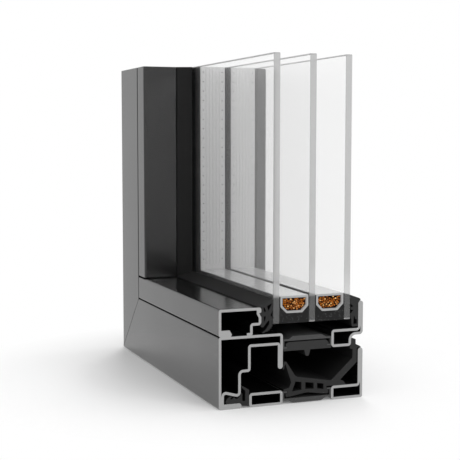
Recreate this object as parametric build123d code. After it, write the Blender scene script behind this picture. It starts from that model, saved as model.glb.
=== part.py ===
from build123d import *
import math
import os

# Lower corner of a steel window: sill rail and jamb, cut square to show the section.
# A section is drawn in x (room side 0, weather side +) and z (frame's outer edge 0, glass +).

# How much of the rail and of the jamb is kept.
rail_length = 196.0
jamb_height = 196.0

# Steel sheet and its bends.
sheet = 1.5
tight_bend = 0.3           # inside radius of a tight bend
easy_bend = 1.5            # inside radius of an easy bend
seam = 0.15                # gap left where two layers of sheet part

# Widths across the section.
inner_depth = 38.3         # room-side steel
break_width = 30.2         # thermal break
outer_depth = 20.0         # weather-side steel

# Heights across the section.
box_height = 8.1           # frame tube and frame outer box
rebate_height = 40.6       # sash flange under the glass
sash_leg_drop = 20.1       # doubled leg below the sash flange
glazing_leg_rise = 15.7    # doubled leg outside the glass
sash_box_height = 10.1
sash_box_width = 12.5
sash_box_curve = 3.0
neck_drop = 0.8            # step from the sash flange down to its neck

# Room-side sash profile.
flange_gap = 3.6           # between the two sash flanges
web_x = 17.35
step_top = 21.7
step_x = 11.5
channel_slope = 15.7       # degrees, roof of the gasket channel
channel_mouth = 6.1
lip_reach = 13.4
face_round = 1.2           # corners that show on the room side

# Gaps between sash and frame.
stop_gap = 4.65            # sash lip to frame tube, closed by the stop gasket
weather_gap = 7.8          # frame leg to sash neck, on the weather side

# Glazing bead.
bead_height = 15.25
bead_hem = 2.9             # folded edge that hangs from the bead's top
bead_jog = 1.2
bead_jog_drop = 2.25
bead_nose_drop = 10.0
bead_return_inset = 6.65   # return leg, in from the bead's glass side
bead_foot = 1.95
bead_foot_height = 1.4
clip_height = 3.6          # thick clip edge under the bead's room side
clip_reach = 7.8

# Insulating bars and the insert between the sash bar's feet.
bar_flange = 1.0
bar_bulge = 2.6
bar_shoulder = 3.5
bar_slope = 2.6
bar_foot = 4.2
bar_foot_width = 0.9
bar_tab = 2.7
sash_bar_drop = 4.7
frame_bar_drop = 5.0
insert_base = 1.3
insert_slack = 0.15
prong_length = 3.6
prong_width = 3.8

# Glass unit.
pane = 4.0
glass_gap = 18.0
inner_gasket_gap = 7.1     # bead to glass
outer_gasket_gap = 5.2     # glass to the sash's doubled leg
glass_edge = 5.4           # pane edge above the sash flange
spacer_height = 9.7
spacer_wall = 1.2
spacer_chamfer = 3.7
sealant_depth = 5.7        # pane edge to the spacer's underside
side_seal = 0.45           # seal between a spacer's side and the pane beside it
seal_stop = 0.3            # the side seal ends this far below the spacer's face
unit_clearance = 3.6       # more room beside the glass unit at the jamb than under it
lip_overlap = 2.7          # the inner glazing gasket's lip lies this far over the bead

# Running clearance between a gasket and what it touches.
touch = 0.06

# Stations that follow from the sizes above.
outer_x = inner_depth + break_width
weather_x = outer_x + outer_depth
leg_x = weather_x - 2 * sheet
tube_x = lip_reach + stop_gap
pane_pitch = pane + glass_gap
glass_out = leg_x - outer_gasket_gap
glass_in = glass_out - 2 * pane_pitch - pane
bead_depth = glass_in - inner_gasket_gap
bead_return_x = bead_depth - bead_return_inset
bead_top = rebate_height + bead_height
pane_edge = rebate_height + glass_edge
spacer_base = pane_edge + sealant_depth
unit_reach = rail_length - unit_clearance
sash_leg_end = rebate_height - sash_leg_drop
sash_box_base = rebate_height - sash_box_height
sash_box_side = outer_x + sash_box_width
neck_top = rebate_height - sheet - neck_drop
neck_base = neck_top - sheet
frame_leg_top = neck_base - weather_gap
glazing_leg_top = rebate_height + glazing_leg_rise
sash_bar_z = rebate_height - sash_bar_drop
frame_bar_z = box_height - frame_bar_drop


def ring(corners):
    """Closed wire through (x, z) or (x, z, radius) corners, each rounded by its radius."""
    spots = [Vector(corner[0], 0, corner[1]) for corner in corners]
    radii = [corner[2] if len(corner) > 2 else 0.0 for corner in corners]
    count = len(spots)
    back, ahead, half, reach = [], [], [], []
    for i, spot in enumerate(spots):
        back.append((spots[i - 1] - spot).normalized())
        ahead.append((spots[(i + 1) % count] - spot).normalized())
        half.append(math.radians(back[i].get_angle(ahead[i])) / 2)
        reach.append(radii[i] / math.tan(half[i]))
    share = [1.0] * count
    for i in range(count):
        after = (i + 1) % count
        length = (spots[after] - spots[i]).length
        if reach[i] + reach[after] > length:
            limit = length / (reach[i] + reach[after])
            share[i] = min(share[i], limit)
            share[after] = min(share[after], limit)
    edges = []
    starts = [spot + back[i] * reach[i] * share[i] for i, spot in enumerate(spots)]
    ends = [spot + ahead[i] * reach[i] * share[i] for i, spot in enumerate(spots)]
    for i, spot in enumerate(spots):
        if radii[i] > 0:
            radius = radii[i] * share[i]
            middle = spot + (back[i] + ahead[i]).normalized() * radius * (1 / math.sin(half[i]) - 1)
            edges.append(Edge.make_three_point_arc(starts[i], middle, ends[i]))
        after = (i + 1) % count
        if (starts[after] - ends[i]).length > 1e-6:
            edges.append(Edge.make_line(ends[i], starts[after]))
    return Wire(edges)


def section(outer, *hollows):
    """Flat section inside the outer corners, open where the hollows are."""
    return Face(ring(outer), [ring(hollow) for hollow in hollows])


def sash_inner_section():
    """Room-side sash profile: one folded sheet round a chamber and a gasket channel."""
    flange_top = rebate_height - sheet - flange_gap
    leg_in = inner_depth - 2 * sheet
    low_web = step_x + sheet
    fall = math.tan(math.radians(channel_slope))
    thick = sheet / math.cos(math.radians(channel_slope))

    def roof(x):
        return channel_mouth + fall * (low_web - x)

    outer = [
        (0, 0, face_round),
        (0, rebate_height, face_round),
        (inner_depth, rebate_height, sheet + tight_bend),
        (inner_depth, sash_leg_end, sheet),
        (leg_in, sash_leg_end, sheet),
        (leg_in, flange_top - sheet, tight_bend),
        (web_x + sheet, flange_top - sheet, tight_bend),
        (web_x + sheet, step_top - sheet, sheet + tight_bend),
        (low_web, step_top - sheet, easy_bend),
        (low_web, roof(low_web), sheet + 3 * tight_bend),
        (2 * sheet, roof(2 * sheet), 4 * tight_bend),
        (2 * sheet, 2 * sheet, tight_bend),
        (lip_reach, 2 * sheet, sheet),
        (lip_reach, 0, sheet),
    ]
    fold_x = inner_depth - sheet - seam
    fold_z = flange_top - sheet
    wedge_x = sheet + seam
    wedge_top = roof(wedge_x) + thick
    wedge_end = wedge_top - 2.2 * sheet
    chamber = [
        (sheet, rebate_height - sheet, tight_bend),
        (inner_depth - sheet, rebate_height - sheet, tight_bend),
        (inner_depth - sheet, fold_z),
        (fold_x, fold_z),
        (fold_x, flange_top, sheet),
        (web_x, flange_top, sheet + tight_bend),
        (web_x, step_top, tight_bend),
        (step_x, step_top, sheet + easy_bend),
        (step_x, roof(step_x) + thick, 3 * tight_bend),
        (wedge_x, wedge_top, sheet + 3 * tight_bend),
        (wedge_x, wedge_end),
        (sheet, wedge_end),
    ]
    return section(outer, chamber)


def glazing_bead_section():
    """Clip-on bead: a sheet folded into a nose, a hem, a foot and a thick clip edge."""
    neck_in = bead_depth - bead_jog - sheet
    hem_end = bead_top - bead_hem
    nose_in = bead_depth - sheet
    jog_top = hem_end - tight_bend
    shift = bead_jog / bead_jog_drop * sheet
    return_top = bead_top - bead_nose_drop + sheet
    foot_x = bead_return_x - bead_foot
    return section([
        (0, rebate_height, face_round),
        (0, bead_top, face_round),
        (bead_depth, bead_top, face_round),
        (bead_depth, hem_end, 2 * tight_bend),
        (bead_depth - bead_jog, jog_top),
        (bead_depth, jog_top - bead_jog_drop, sheet),
        (bead_depth, return_top - sheet, sheet + tight_bend),
        (bead_return_x + sheet, return_top - sheet, tight_bend),
        (bead_return_x + sheet, rebate_height, sheet / 2),
        (foot_x, rebate_height, tight_bend),
        (foot_x, rebate_height + bead_foot_height, tight_bend),
        (bead_return_x, rebate_height + bead_foot_height, tight_bend),
        (bead_return_x, return_top, sheet + tight_bend),
        (nose_in, return_top, tight_bend),
        (nose_in, jog_top - bead_jog_drop - shift / 2, tight_bend),
        (neck_in, jog_top - shift / 2, tight_bend),
        (neck_in, bead_top - sheet, tight_bend),
        (sheet, bead_top - sheet, tight_bend),
        (sheet, rebate_height + clip_height, tight_bend),
        (clip_reach - clip_height / 2.5, rebate_height + clip_height, tight_bend),
        (clip_reach, rebate_height + clip_height / 3, tight_bend),
        (clip_reach - 2 * tight_bend, rebate_height),
    ])


def frame_inner_section():
    """Closed tube on the room side of the frame."""
    corner = sheet + tight_bend
    outer = [
        (tube_x, 0, corner),
        (tube_x, box_height, corner),
        (inner_depth, box_height, corner),
        (inner_depth, 0, corner),
    ]
    bore = [
        (tube_x + sheet, sheet, tight_bend),
        (tube_x + sheet, box_height - sheet, tight_bend),
        (inner_depth - sheet, box_height - sheet, tight_bend),
        (inner_depth - sheet, sheet, tight_bend),
    ]
    return section(outer, bore)


def frame_outer_section():
    """Weather side of the frame: a flat box with a doubled leg standing on it."""
    corner = sheet + tight_bend
    fold_x = weather_x - sheet - seam
    outer = [
        (outer_x, 0, corner),
        (outer_x, box_height, corner),
        (leg_x, box_height, sheet / 2),
        (leg_x, frame_leg_top, sheet),
        (weather_x, frame_leg_top, sheet),
        (weather_x, 0, face_round),
    ]
    chamber = [
        (outer_x + sheet, sheet, tight_bend),
        (outer_x + sheet, box_height - sheet, tight_bend),
        (fold_x, box_height - sheet, sheet * 1.5),
        (fold_x, box_height + sheet / 2),
        (weather_x - sheet, box_height + sheet / 2),
        (weather_x - sheet, sheet, tight_bend),
    ]
    return section(outer, chamber)


def sash_outer_section():
    """Weather side of the sash: a small box, a swept neck and a doubled leg outside the glass."""
    corner = sheet + tight_bend
    fold_x = weather_x - sheet - seam
    outer = [
        (outer_x, sash_box_base, corner),
        (outer_x, rebate_height, corner),
        (leg_x, rebate_height, sheet / 2),
        (leg_x, glazing_leg_top, sheet),
        (weather_x, glazing_leg_top, sheet),
        (weather_x, neck_base, sheet * 1.5),
        (sash_box_side, neck_base, sash_box_curve),
        (sash_box_side, sash_box_base, corner),
    ]
    chamber = [
        (outer_x + sheet, sash_box_base + sheet, tight_bend),
        (outer_x + sheet, rebate_height - sheet, tight_bend),
        (fold_x, rebate_height - sheet, sheet * 1.5),
        (fold_x, rebate_height + sheet / 2),
        (weather_x - sheet, rebate_height + sheet / 2),
        (weather_x - sheet, neck_top, sheet / 2),
        (sash_box_side - sheet, neck_top, sash_box_curve + sheet),
        (sash_box_side - sheet, sash_box_base + sheet, tight_bend),
    ]
    return section(outer, chamber)


def bar_section(flat_z, side):
    """Insulating bar whose web bulges to one side and whose feet stand on the other."""
    left, right = inner_depth, outer_x
    foot_end = flat_z - side * bar_foot
    tab_face = foot_end + side * bar_foot_width
    return section([
        (left, flat_z + side * bar_flange),
        (left + bar_shoulder, flat_z + side * bar_flange, 1.0),
        (left + bar_shoulder + bar_slope, flat_z + side * bar_bulge, 1.0),
        (right - bar_shoulder - bar_slope, flat_z + side * bar_bulge, 1.0),
        (right - bar_shoulder, flat_z + side * bar_flange, 1.0),
        (right, flat_z + side * bar_flange),
        (right, foot_end),
        (right - bar_tab, foot_end),
        (right - bar_tab, tab_face),
        (right - bar_foot_width, tab_face),
        (right - bar_foot_width, flat_z),
        (left + bar_foot_width, flat_z),
        (left + bar_foot_width, tab_face),
        (left + bar_tab, tab_face),
        (left + bar_tab, foot_end),
        (left, foot_end),
    ])


def sash_bar_section():
    return bar_section(sash_bar_z, 1)


def frame_bar_section():
    return bar_section(frame_bar_z, -1)


def bar_insert_section():
    """Insulating insert that hooks over the tabs of the sash bar, with a prong below."""
    left, right = inner_depth, outer_x
    middle = (left + right) / 2
    tab_under = sash_bar_z - bar_foot - insert_slack
    tab_over = sash_bar_z - bar_foot + bar_foot_width + insert_slack
    base = tab_under - insert_base
    crown = sash_bar_z - 0.7
    hook = bar_tab + insert_slack
    return section([
        (left + insert_slack, base),
        (left + insert_slack, tab_under),
        (left + hook, tab_under),
        (left + hook, tab_over),
        (left + 2 * bar_foot_width, tab_over),
        (left + 2 * bar_foot_width, crown - 1.0),
        (left + bar_shoulder, crown),
        (right - bar_shoulder, crown),
        (right - 2 * bar_foot_width, crown - 1.5),
        (right - 2 * bar_foot_width, tab_over),
        (right - hook, tab_over),
        (right - hook, tab_under),
        (right - insert_slack, tab_under),
        (right - insert_slack, base),
        (middle + prong_width / 2, base),
        (middle + prong_width / 4, base - prong_length, 0.8),
        (middle - prong_width / 4, base - prong_length, 0.8),
        (middle - prong_width / 2, base),
    ])


def stop_gasket_section():
    """Stop gasket: a barbed root in the sash channel and a hollow lip against the tube."""
    floor_z = 2 * sheet
    web = step_x + sheet
    tube = tube_x - touch
    slot_left = lip_reach + 0.5
    slot_right = tube - 2.25
    return section([
        (floor_z + 1.6, floor_z + touch),
        (floor_z + 1.0, floor_z + 1.4, 0.4),
        (floor_z + 1.9, floor_z + 3.1),
        (floor_z + 3.6, floor_z + 4.3),
        (floor_z + 4.8, floor_z + 4.25),
        (floor_z + 3.7, floor_z + 2.8),
        (floor_z + 4.6, floor_z + 2.5),
        (web - 4.1, floor_z + 3.5),
        (web - 3.4, floor_z + 3.4),
        (web - 3.0, floor_z + 2.6),
        (web - 1.9, floor_z + 2.6),
        (web - 0.7, floor_z + 3.9),
        (web + touch, floor_z + 5.6),
        (slot_left, floor_z + 5.4),
        (slot_left, floor_z + 0.9, 0.85),
        (slot_right, floor_z + 0.9, 0.85),
        (slot_right, box_height + 1.6, 0.8),
        (web + 0.25, box_height + 4.0),
        (web + 0.35, box_height + 4.5),
        (tube - 1.8, box_height + 3.2, 0.8),
        (tube, box_height + 2.0, 1.2),
        (tube, 0.95),
        (lip_reach + 0.25, 1.45),
        (lip_reach - 0.25, floor_z - 0.25, 0.6),
        (lip_reach - 1.0, floor_z + touch),
    ])


def centre_gasket_section():
    """Centre gasket: a chambered arch over the frame bar, a fin to the sash leg and an
    arm to the weather side that closes the joint and laps over the frame leg."""
    left, right = inner_depth, outer_x
    middle = (left + right) / 2
    root = box_height
    foot_top = frame_bar_z + bar_foot - bar_foot_width - 0.2
    tab_top = frame_bar_z + bar_foot + 0.2
    foot_base = frame_bar_z + 0.9
    waist = bar_tab + 0.2
    leg_end = sash_leg_end
    head = sash_box_side + touch
    under = sash_box_base
    arm = leg_x - 0.7
    lap = frame_leg_top
    outer = [
        (left + 1.0, leg_end + 3.7),
        (left + 2.1, leg_end + 3.8, 0.4),
        (left + 8.1, root + 7.1, 2.0),
        (right - 0.1, root + 3.2, 2.0),
        (head + 1.0, under - 7.0, 1.0),
        (head + 1.0, under - 1.9),
        (head - 0.7, under - 1.6),
        (head - 0.7, under - 0.2),
        (head, under + 0.6),
        (head, under + 3.8),
        (head + 0.6, under + 4.6),
        (head + 2.9, under + 3.7, 0.4),
        (head + 3.0, under + 0.8, 0.6),
        (weather_x - 2.2, lap + 1.3, 0.8),
        (weather_x - 1.2, lap + 0.5),
        (weather_x - 1.3, lap + 0.12),
        (leg_x + 0.1, lap + 0.35),
        (arm, lap - 0.1),
        (arm, lap - 8.1, 0.8),
        (right + 5.6, root + 3.1, 0.4),
        (right + 7.9, root + 2.3, 0.5),
        (right + 9.6, root + touch),
        (right + 1.8, root + touch, 0.5),
        (right - 0.2, root + 0.25, 0.5),
        (right - waist, root + 0.25),
        (right - waist, foot_top),
        (right - 1.7, foot_top),
        (right - 1.8, foot_base + 0.1, 0.8),
        (right - 6.0, foot_base + 0.3, 3.0),
        (middle, foot_base + 1.8, 12.0),
        (left + 5.4, foot_base + 0.3, 3.0),
        (left + 1.9, foot_base, 0.7),
        (left + 1.8, foot_top),
        (left + waist, foot_top),
        (left + waist, tab_top),
        (left + 0.6, tab_top),
        (left + 0.6, root + 0.4),
        (left + 4.0, root + 1.1, 1.2),
        (left + 5.3, root + 4.2, 2.0),
        (left + 1.65, leg_end + 2.4),
        (left + 1.05, leg_end + 1.3, 0.5),
        (left + 0.8, leg_end - 0.5),
        (left + 0.15, leg_end - 0.5),
        (left + touch, leg_end + 1.7, 0.5),
    ]
    slanted = [
        (left + 7.9, root + 4.4),
        (middle - 3.5, root + 3.8),
        (middle - 3.5, root - 0.6),
        (left + 5.7, root - 1.2),
    ]
    square = [
        (middle - 1.1, root + 3.5),
        (middle + 4.1, root + 2.8),
        (middle + 4.1, root - 0.6),
        (middle - 1.1, root - 0.4),
    ]
    narrow = [
        (right - 8.8, root + 2.5),
        (right - 4.8, root + 1.8),
        (right - 4.8, root - 1.4),
        (right - 8.8, root - 0.7),
    ]
    return section(outer, slanted, square, narrow)


def inner_glazing_gasket_section():
    """Room-side glazing gasket: a wide lip, crossed webs and a barbed tail."""
    bead = bead_depth + touch
    glass = glass_in - touch
    base = rebate_height
    top = bead_top
    nose_base = bead_top - bead_nose_drop
    jog = bead_top - bead_hem - tight_bend
    outer = [
        (bead_depth - lip_overlap, top + touch),
        (bead_depth - lip_overlap, top + 0.7),
        (glass - 0.5, top + 4.5),
        (glass, top + 4.1),
        (glass, top - 2.1),
        (glass - 1.5, top - 4.7),
        (glass, top - 6.1, 0.5),
        (glass - 0.4, base + 5.1, 0.5),
        (glass - 0.1, base + 4.3),
        (glass - 1.0, base + 4.1),
        (glass - 1.0, base + 3.0),
        (glass - 1.9, base + 3.2),
        (glass - 2.1, base + 1.9),
        (glass - 2.9, base + 2.3),
        (glass - 3.3, base + 1.2),
        (glass - 4.1, base + 1.6),
        (glass - 6.2, base + 0.5),
        (glass - 6.4, base + 1.1),
        (glass - 4.4, base + 2.6, 2.0),
        (glass - 2.3, base + 5.5, 2.0),
        (glass - 2.2, base + 8.4, 0.4),
        (bead + 1.3, nose_base - 1.1, 0.5),
        (bead + 0.2, nose_base - 1.3, 0.5),
        (bead - 0.6, nose_base - 0.3),
        (bead - 0.3, nose_base - 0.1),
        (bead, nose_base + 1.3, 0.5),
        (bead, jog - bead_jog_drop + 0.4),
        (bead - bead_jog + 0.5, jog - 0.35),
        (bead, jog + 0.1),
        (bead, top - 0.5),
        (bead - 0.3, top - 0.05),
        (bead - 0.5, top + touch),
    ]
    upper_left = [
        (bead + 1.1, top - 0.1),
        (bead + 2.0, top - 0.3),
        (bead + 2.7, top - 2.5),
        (bead + 1.8, top - 2.9),
    ]
    upper_right = [
        (glass - 3.5, top + 0.5),
        (glass - 0.8, top + 2.0),
        (glass - 1.0, top + 0.9),
        (glass - 2.7, top - 2.1),
        (glass - 3.3, top - 0.5),
    ]
    lower_left = [
        (bead + 1.5, top - 5.2),
        (bead + 2.6, top - 5.1),
        (bead + 2.5, top - 6.6),
        (bead + 1.6, top - 8.6),
    ]
    return section(outer, upper_left, upper_right, lower_left)


def outer_glazing_gasket_section():
    """Weather-side glazing gasket: a sloping lip over the leg and a hollow heel."""
    glass = glass_out + touch
    leg = leg_x - touch
    base = rebate_height
    top = glazing_leg_top
    outer = [
        (glass, top + 3.7),
        (leg + 0.6, top + 1.6, 0.4),
        (leg + 1.5, top + 0.9),
        (leg + 1.2, top + 0.2),
        (leg + 0.25, top - 0.1),
        (leg, top - 1.2),
        (leg, base + 1.0, 0.4),
        (glass + 1.1, base + 1.0, 0.6),
        (glass + 0.6, pane_edge + 0.1, 0.4),
        (glass, pane_edge + 0.9, 0.4),
        (glass, top - 7.6),
        (glass + 1.9, top - 5.1),
        (glass, top - 4.8),
        (glass, top - 3.7),
        (glass + 2.0, top - 3.0),
        (glass, top - 1.3),
    ]
    heel = [
        (glass + 2.0, base + 2.4),
        (leg - 0.8, base + 2.4),
        (leg - 0.8, base + 5.0),
        (glass + 3.1, base + 5.4),
        (glass + 2.9, base + 6.8),
        (glass + 2.3, base + 6.8),
    ]
    return section(outer, heel)


def spacer_outline(left, inset):
    """Corners of a spacer, or of its bore when inset by the wall."""
    right = left + glass_gap - side_seal - inset
    left = left + side_seal + inset
    base = spacer_base + inset
    top = spacer_base + spacer_height - inset
    cut = spacer_chamfer - inset * (2 - math.sqrt(2))
    return [
        (left, top),
        (right, top),
        (right, base + cut),
        (right - cut, base),
        (left + cut, base),
        (left, base + cut),
    ]


def sealant_outline(left):
    """Corners of the edge seal between two panes, under the spacer and up both its sides."""
    right = left + glass_gap
    film = side_seal - touch
    top = spacer_base + spacer_height - seal_stop
    bend = spacer_base + spacer_chamfer - touch
    cut = side_seal + spacer_chamfer
    return [
        (left, pane_edge),
        (left, top),
        (left + film, top),
        (left + film, bend),
        (left + cut, spacer_base - touch),
        (right - cut, spacer_base - touch),
        (right - film, bend),
        (right - film, top),
        (right, top),
        (right, pane_edge),
    ]


def mitre(reach):
    """Plane of the corner joint between a rail and a jamb whose outer edges are this far out."""
    return Plane(origin=(0, reach, 0), x_dir=(1, 0, 0), z_dir=(0, 1, 1))


def run(face, start, square_end, reach):
    """Length of a section along +Y, mitred at the corner or cut square before it."""
    if square_end:
        return Pos(0, start, 0) * extrude(face, reach - square_end - start, dir=(0, 1, 0))
    bar = Pos(0, start, 0) * extrude(face, reach - start, dir=(0, 1, 0))
    return split(bar, bisect_by=mitre(reach), keep=Keep.BOTTOM)


def rail(face, square_end=0, reach=rail_length):
    return run(face, 0, square_end, reach)


def jamb(face, square_end=0, reach=rail_length):
    return mirror(run(face, reach - jamb_height, square_end, reach), about=mitre(reach))


def unit_corner(face):
    """Rail and jamb of one section of the glass unit in a single bent piece."""
    return (rail(face, reach=unit_reach) + jamb(face, reach=unit_reach)).clean()


def glass_pane(left):
    width = unit_reach - pane_edge
    height = jamb_height - pane_edge
    return Pos(left, 0, pane_edge) * Box(pane, width, height, align=(Align.MIN, Align.MIN, Align.MIN))


# Mitred pairs, one for the rail and one for the jamb.
mitred = {
    "sash_inner": sash_inner_section,
    "sash_outer": sash_outer_section,
    "frame_inner": frame_inner_section,
    "frame_outer": frame_outer_section,
    "sash_insulating_bar": sash_bar_section,
    "frame_insulating_bar": frame_bar_section,
    "sash_bar_insert": bar_insert_section,
    "stop_gasket": stop_gasket_section,
    "centre_gasket": centre_gasket_section,
    "inner_glazing_gasket": inner_glazing_gasket_section,
    "outer_glazing_gasket": outer_glazing_gasket_section,
}
pieces = {}
for name, draw in mitred.items():
    face = draw()
    pieces[name + "_rail"] = rail(face)
    pieces[name + "_jamb"] = jamb(face)

# The rail's bead runs through to the jamb, and the jamb's bead stands on it.
bead_face = glazing_bead_section()
pieces["glazing_bead_rail"] = rail(bead_face, square_end=rebate_height)
pieces["glazing_bead_jamb"] = jamb(bead_face, square_end=bead_top)

# The jamb's glazing gasket is trimmed where the rail's bead runs past it.
bead_run = Box(
    bead_depth + touch, rail_length - rebate_height + touch, bead_top + touch,
    align=(Align.MIN, Align.MIN, Align.MIN))
pieces["inner_glazing_gasket_jamb"] = pieces["inner_glazing_gasket_jamb"] - bead_run

# Glass unit: three panes, two spacers bent round the corner, with their fill and edge seal.
for number, place in enumerate(("inner", "middle", "outer")):
    pieces["pane_" + place] = glass_pane(glass_in + number * pane_pitch)
for number, place in enumerate(("inner", "outer")):
    left = glass_in + pane + number * pane_pitch
    bore = spacer_outline(left, spacer_wall)
    pieces["spacer_" + place] = unit_corner(section(spacer_outline(left, 0), bore))
    pieces["desiccant_" + place] = unit_corner(section(bore))
    pieces["edge_sealant_" + place] = unit_corner(section(sealant_outline(left)))

# The origin is the middle of the footprint on the floor.
os.makedirs("parts", exist_ok=True)
for name, piece in pieces.items():
    placed = Pos(-weather_x / 2, -rail_length / 2, 0) * piece
    export_step(placed, f"parts/{name}.step")
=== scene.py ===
"""Finishes and small parts for a cut corner of an insulated steel window.

The steel, gaskets, bars and glass unit come from model.glb. This script paints them, gives the
panes ground edges, ribs and perforates the spacers, fills them with drying beads, and sets the
camera and a pale studio.
"""
import math

import bmesh
import bpy
from bpy.props import FloatProperty, FloatVectorProperty, IntProperty, PointerProperty
from mathutils import Matrix, Vector


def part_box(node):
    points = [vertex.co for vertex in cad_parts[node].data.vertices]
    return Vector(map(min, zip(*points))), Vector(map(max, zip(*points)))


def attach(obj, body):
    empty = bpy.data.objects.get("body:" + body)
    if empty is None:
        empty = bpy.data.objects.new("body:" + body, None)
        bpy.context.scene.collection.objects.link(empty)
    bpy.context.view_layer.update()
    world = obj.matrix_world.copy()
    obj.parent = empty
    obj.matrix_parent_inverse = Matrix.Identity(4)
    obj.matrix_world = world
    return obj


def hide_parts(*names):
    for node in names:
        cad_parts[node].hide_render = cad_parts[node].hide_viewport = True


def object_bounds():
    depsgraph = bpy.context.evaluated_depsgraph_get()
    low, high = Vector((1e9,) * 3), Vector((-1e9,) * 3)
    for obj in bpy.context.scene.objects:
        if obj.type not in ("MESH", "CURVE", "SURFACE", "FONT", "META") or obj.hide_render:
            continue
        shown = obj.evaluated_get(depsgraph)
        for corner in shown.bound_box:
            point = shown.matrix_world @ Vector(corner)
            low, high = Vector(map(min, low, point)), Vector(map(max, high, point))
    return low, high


bl_info = {
    "name": "Steel Window Section",
    "version": (1, 0, 0),
    "blender": (4, 5, 0),
    "location": "3D View > Sidebar > Window Section",
    "description": "Finishes and small parts for a cut corner of an insulated steel window",
    "category": "Object",
}

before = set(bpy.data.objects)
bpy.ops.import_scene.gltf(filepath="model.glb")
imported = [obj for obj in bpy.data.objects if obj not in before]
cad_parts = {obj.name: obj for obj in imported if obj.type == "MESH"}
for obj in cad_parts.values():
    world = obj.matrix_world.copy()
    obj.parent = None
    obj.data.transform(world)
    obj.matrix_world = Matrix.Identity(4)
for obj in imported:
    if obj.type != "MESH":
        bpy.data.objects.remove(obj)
cad_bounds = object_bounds()

MM = 0.001
# The pieces made here stop this far short of both cuts.
CUT_SKIN = 0.01 * MM
SIDES = ("rail", "jamb")
UNITS = ("inner", "outer")
PANES = ("inner", "middle", "outer")
STEEL_NODES = ("sash_inner", "sash_outer", "frame_inner", "frame_outer", "glazing_bead")
GASKET_NODES = ("stop_gasket", "centre_gasket", "inner_glazing_gasket", "outer_glazing_gasket")
BAR_NODES = ("sash_insulating_bar", "frame_insulating_bar")

# The rail is cut at the lowest Y and the jamb at the highest Z. They meet on the mitre, where
# Y + Z has the same value all along.
steel_low, steel_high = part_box("sash_inner_rail")
RAIL_CUT = steel_low.y
JAMB_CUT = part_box("sash_inner_jamb")[1].z
MITRE_SUM = steel_high.y + steel_low.z
ROOM_FACE = steel_low.x
SASH_TOP = steel_high.z

bead_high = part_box("glazing_bead_rail")[1]
BEAD_TOP = bead_high.z
BEAD_DEPTH = bead_high.x - ROOM_FACE
LIP_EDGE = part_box("inner_glazing_gasket_rail")[0].x

pane_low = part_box("pane_inner")[0]
GLASS_FACE = pane_low.x
PANE_FOOT = pane_low.z

# The glass unit bends on a mitre of its own, because it has more room beside it at the jamb.
spacer_low, spacer_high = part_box("spacer_inner")
UNIT_SUM = spacer_high.y + spacer_low.z
SPACER_FOOT = spacer_low.z

SAW_MARKS_PER_METRE = 2600.0

# The ribs' darker tone beside the spacer's own, a painted shade, and the plugs that stand for the
# perforations with their painted shadow.
RIB_SHADE = 0.88
PLUG_DEPTH = 0.3 * MM
PLUG_RISE = 0.02 * MM

# How the drying beads lie. The steps and recesses are in diameters of a bead.
BEAD_LAYERS = 3
LAYER_STEP = 0.6
BEAD_SPACING = 0.92
MOUTH_RECESS = 0.92
CORE_RECESS = 1.3
# Depth at which the painted shade on the beads reaches the darkest tone.
UNLIT_DEPTH = 0.75
LAYER_SCATTER = 0.3 * MM
BORE_CLEARANCE = 0.03 * MM
# Beads tried on a square metre, so many that only their spacing limits them.
BEAD_TRIES = 1e8


def linear(code):
    """Linear value of an sRGB level from 0 to 255."""
    level = code / 255
    if level <= 0.04045:
        return level / 12.92
    return ((level + 0.055) / 1.055) ** 2.4


def colour_property(name, description, *codes):
    """Colour setting from three sRGB levels, or from one for a grey."""
    if len(codes) == 1:
        codes *= 3
    return FloatVectorProperty(
        name=name, description=description, subtype="COLOR", size=3, min=0, max=1,
        default=[linear(code) for code in codes])


def length_property(name, description, millimetres):
    """Length setting given in millimetres."""
    return FloatProperty(
        name=name, description=description, default=millimetres * MM, min=0, unit="LENGTH",
        subtype="DISTANCE")


def level_property(name, description, default, unit="NONE"):
    """Setting that stays at 0 or above."""
    return FloatProperty(name=name, description=description, default=default, min=0, unit=unit)


class SectionFinish(bpy.types.PropertyGroup):
    """Colours of the section's materials."""

    paint: colour_property("Paint", "Powder coat on the steel", 0x14)
    # The steel inside the hollows is primed, and this near-black level is painted shade there; the
    # hidden rubber flanks and the steel's dark lines take it too.
    bore: colour_property("Bore", "Primed steel inside the hollow profiles", 0x0A)
    cut_steel: colour_property("Cut steel", "Sawn ends of the steel", 0xA4)
    gasket: colour_property("Gasket", "Rubber gaskets", 0x17)
    gasket_cut: colour_property("Gasket cut", "Sawn ends of the gaskets", 0x2B)
    bar: colour_property("Insulating bar", "Fibre-filled plastic bars", 0x38)
    insert: colour_property("Insert", "Insert under the sash bar", 0x16)
    sealant: colour_property("Edge sealant", "Seal round the glass unit", 0x0A)
    first_seal: colour_property("First seal", "Seal between spacer and pane", 0x46)
    speck: colour_property("Sealant speck", "Pale filler grains in the seal", 0x60, 0x60, 0x62)
    spacer: colour_property("Spacer", "Spacer metal", 0xD6)
    # Painted shadow: the plugs in the spacer's face stand for the holes and take this darker grey.
    perforation: colour_property("Perforation", "Inside of the small holes", 0x78)
    glass: colour_property("Glass", "Tint of one pane", 0xFF)
    pane_edge: colour_property("Pane edge", "Ground edge of a pane in the open", 0xAC)
    # Painted shade: the pane edge inside the frame is drawn darker, for the light that does not
    # reach it there.
    bedded_edge_shade: colour_property("Bedded edge", "Pane edge inside the frame", 0x6C)
    bead_dark: colour_property("Dark bead", "Darkest drying bead", 0x40, 0x14, 0x02)
    bead_mid: colour_property("Amber bead", "Common drying bead", 0xB8, 0x68, 0x1A)
    bead_pale: colour_property("Pale bead", "Palest drying bead", 0xFA, 0xCC, 0x84)


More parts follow.
